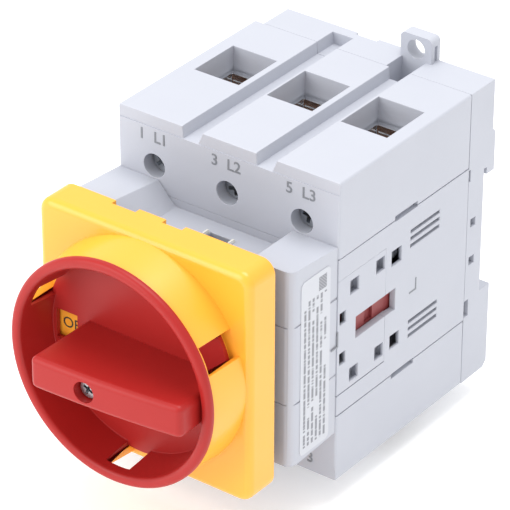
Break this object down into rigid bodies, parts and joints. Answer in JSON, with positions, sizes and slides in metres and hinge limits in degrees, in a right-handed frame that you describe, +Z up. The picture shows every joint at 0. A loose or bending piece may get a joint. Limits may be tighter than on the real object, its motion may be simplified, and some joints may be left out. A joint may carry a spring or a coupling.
{
  "type": "rotary isolator switch",
  "caption": "Rotary load isolator with a red handle in a lockable yellow ring, clamp terminals above and below, and a rail and screw mounting base.",
  "frame": {"origin": "the point where the handle's axis meets the rear mounting plane", "axes": "+X towards pole 3, to the right seen from the handle; +Y out of the back, towards the wall; +Z up, towards the line terminals"},
  "size_m": [0.0714, 0.1325, 0.1048],
  "materials": {
    "grey_plastic": "fine moulded texture",
    "yellow_plastic": "smooth semi-gloss",
    "red_plastic": "smooth semi-gloss",
    "red_carrier": "moulded",
    "white_plastic": "moulded",
    "black_rubber": "matt",
    "zinc_steel": "zinc plated",
    "spring_steel": "drawn wire",
    "plated_clamp": "plated",
    "copper": "bare copper with silvered contacts",
    "label_film": "printed film"
  },
  "bodies": {
    "housing": {"front_plate": "yellow_plastic", "dial_disc": "yellow_plastic", "shaft_seal": "black_rubber", "panel_gasket": "black_rubber", "plate_screws": "zinc_steel", "front_housing": "grey_plastic", "index_springs": "spring_steel", "mechanism_housing": "grey_plastic", "contact_housing": "grey_plastic", "housing_screws": "zinc_steel", "base_screws": "zinc_steel", "upper_terminal_block": "grey_plastic", "lower_terminal_block": "grey_plastic", "rear_base": "grey_plastic", "rating_label": "label_film", "arc_plates_line": "zinc_steel", "arc_plates_load": "zinc_steel", "din_latch_spring": "spring_steel", "line_bar_1": "copper", "load_bar_1": "copper", "line_bar_2": "copper", "load_bar_2": "copper", "line_bar_3": "copper", "load_bar_3": "copper"},
    "handle": {"rotary_handle": "red_plastic", "handle_screw": "zinc_steel", "drive_shaft": "zinc_steel", "shaft_bush": "white_plastic", "index_wheel": "white_plastic", "drive_cam": "white_plastic"},
    "carrier": {"contact_carrier": "red_carrier", "contact_springs": "spring_steel", "contact_bridge_1": "copper", "contact_bridge_2": "copper", "contact_bridge_3": "copper"},
    "latch": {"din_latch": "grey_plastic"},
    "line_screw_body_1": {"line_screw_1": "zinc_steel"},
    "line_cage_body_1": {"line_cage_1": "plated_clamp"},
    "line_screw_body_2": {"line_screw_2": "zinc_steel"},
    "line_cage_body_2": {"line_cage_2": "plated_clamp"},
    "line_screw_body_3": {"line_screw_3": "zinc_steel"},
    "line_cage_body_3": {"line_cage_3": "plated_clamp"},
    "load_screw_body_1": {"load_screw_1": "zinc_steel"},
    "load_cage_body_1": {"load_cage_1": "plated_clamp"},
    "load_screw_body_2": {"load_screw_2": "zinc_steel"},
    "load_cage_body_2": {"load_cage_2": "plated_clamp"},
    "load_screw_body_3": {"load_screw_3": "zinc_steel"},
    "load_cage_body_3": {"load_cage_3": "plated_clamp"}
  },
  "joints": [
    {"name": "handle_turn", "type": "hinge", "parent": "housing", "child": "handle", "pos_m": [0, -0.1, 0], "axis": [0, 1, 0], "range_deg": [0, 90], "deforming": ["index_springs"]},
    {"name": "contact_slide", "type": "slide", "parent": "housing", "child": "carrier", "axis": [0, 1, 0], "range_m": [0, 0.007]},
    {"name": "latch_slide", "type": "slide", "parent": "housing", "child": "latch", "axis": [0, 0, -1], "range_m": [0, 0.004], "stiffness_N_per_m": 800, "springref_m": -0.002, "deforming": ["din_latch_spring"]},
    {"name": "line_screw_1_turn", "type": "hinge", "parent": "housing", "child": "line_screw_body_1", "pos_m": [-0.0239, -0.064, 0.0303], "axis": [0, 1, 0], "range_deg": [0, 2880.1]},
    {"name": "line_cage_1_slide", "type": "slide", "parent": "housing", "child": "line_cage_body_1", "axis": [0, -1, 0], "range_m": [0, 0.008]},
    {"name": "line_screw_2_turn", "type": "hinge", "parent": "housing", "child": "line_screw_body_2", "pos_m": [0, -0.064, 0.0303], "axis": [0, 1, 0], "range_deg": [0, 2880.1]},
    {"name": "line_cage_2_slide", "type": "slide", "parent": "housing", "child": "line_cage_body_2", "axis": [0, -1, 0], "range_m": [0, 0.008]},
    {"name": "line_screw_3_turn", "type": "hinge", "parent": "housing", "child": "line_screw_body_3", "pos_m": [0.0239, -0.064, 0.0303], "axis": [0, 1, 0], "range_deg": [0, 2880.1]},
    {"name": "line_cage_3_slide", "type": "slide", "parent": "housing", "child": "line_cage_body_3", "axis": [0, -1, 0], "range_m": [0, 0.008]},
    {"name": "load_screw_1_turn", "type": "hinge", "parent": "housing", "child": "load_screw_body_1", "pos_m": [-0.0239, -0.064, -0.0303], "axis": [0, 1, 0], "range_deg": [0, 2880.1]},
    {"name": "load_cage_1_slide", "type": "slide", "parent": "housing", "child": "load_cage_body_1", "axis": [0, -1, 0], "range_m": [0, 0.008]},
    {"name": "load_screw_2_turn", "type": "hinge", "parent": "housing", "child": "load_screw_body_2", "pos_m": [0, -0.064, -0.0303], "axis": [0, 1, 0], "range_deg": [0, 2880.1]},
    {"name": "load_cage_2_slide", "type": "slide", "parent": "housing", "child": "load_cage_body_2", "axis": [0, -1, 0], "range_m": [0, 0.008]},
    {"name": "load_screw_3_turn", "type": "hinge", "parent": "housing", "child": "load_screw_body_3", "pos_m": [0.0239, -0.064, -0.0303], "axis": [0, 1, 0], "range_deg": [0, 2880.1]},
    {"name": "load_cage_3_slide", "type": "slide", "parent": "housing", "child": "load_cage_body_3", "axis": [0, -1, 0], "range_m": [0, 0.008]}
  ],
  "couplings": [
    {"joint": "contact_slide", "follows": "handle_turn", "m_per_rad": 0.0044563},
    {"joint": "line_screw_1_turn", "follows": "line_cage_1_slide", "rad_per_m": 6283.2},
    {"joint": "line_screw_2_turn", "follows": "line_cage_2_slide", "rad_per_m": 6283.2},
    {"joint": "line_screw_3_turn", "follows": "line_cage_3_slide", "rad_per_m": 6283.2},
    {"joint": "load_screw_1_turn", "follows": "load_cage_1_slide", "rad_per_m": 6283.2},
    {"joint": "load_screw_2_turn", "follows": "load_cage_2_slide", "rad_per_m": 6283.2},
    {"joint": "load_screw_3_turn", "follows": "load_cage_3_slide", "rad_per_m": 6283.2}
  ]
}
